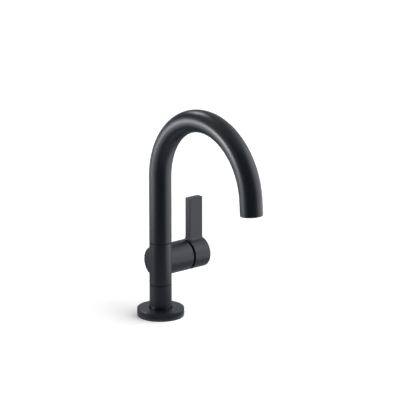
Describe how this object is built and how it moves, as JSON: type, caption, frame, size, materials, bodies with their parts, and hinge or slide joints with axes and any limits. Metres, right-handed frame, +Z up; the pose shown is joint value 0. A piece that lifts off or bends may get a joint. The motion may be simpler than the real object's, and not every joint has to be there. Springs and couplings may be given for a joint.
{
  "type": "gooseneck bar faucet",
  "caption": "Deck-mounted single-hole bar faucet in satin black: a swivelling gooseneck tube spout on a slim column, with a blade lever on a barrel set across its back.",
  "frame": {"origin": "centre of the escutcheon flange's underside, on the plane of the deck", "axes": "+Z up along the column; -Y is where the spout points at rest, towards the user; +X is the lever's side"},
  "size_m": [0.0994, 0.2096, 0.3323],
  "materials": {
    "black_finish": "satin matte black",
    "black_acetal": "moulded",
    "white_acetal": "moulded",
    "rubber": "matte",
    "brass": "turned",
    "steel": "plain",
    "ceramic": "lapped"
  },
  "bodies": {
    "base": {"escutcheon_flange": "black_finish", "deck_gasket": "rubber", "pedestal": "black_finish", "mounting_shank": "brass", "rubber_washer": "rubber", "steel_washer": "steel", "mounting_nut": "brass", "valve_body": "black_finish", "port_seals": "rubber", "cartridge_base": "black_acetal", "fixed_disc": "ceramic", "cartridge_housing": "black_acetal", "cartridge_nut": "brass", "handle_ring": "black_acetal", "swivel_post": "brass", "post_seals": "rubber", "retaining_ring": "steel", "glide_washer": "black_acetal"},
    "lever": {"handle": "black_finish", "handle_adapter": "brass", "set_screw": "steel", "cartridge_stem": "brass", "turning_disc": "ceramic", "stem_seal": "rubber"},
    "spout": {"spout_tube": "black_finish", "spout_socket": "brass", "outlet_insert": "brass", "aerator_shell": "black_acetal", "aerator_core": "white_acetal", "aerator_seal": "rubber"}
  },
  "joints": [
    {"name": "spout_swivel", "type": "hinge", "parent": "base", "child": "spout", "pos_m": [0, 0, 0.092], "axis": [0, 0, 1], "continuous": true},
    {"name": "handle_turn", "type": "hinge", "parent": "base", "child": "lever", "pos_m": [0, 0.009, 0.0652], "axis": [1, 0, 0], "range_deg": [0, 90]}
  ]
}
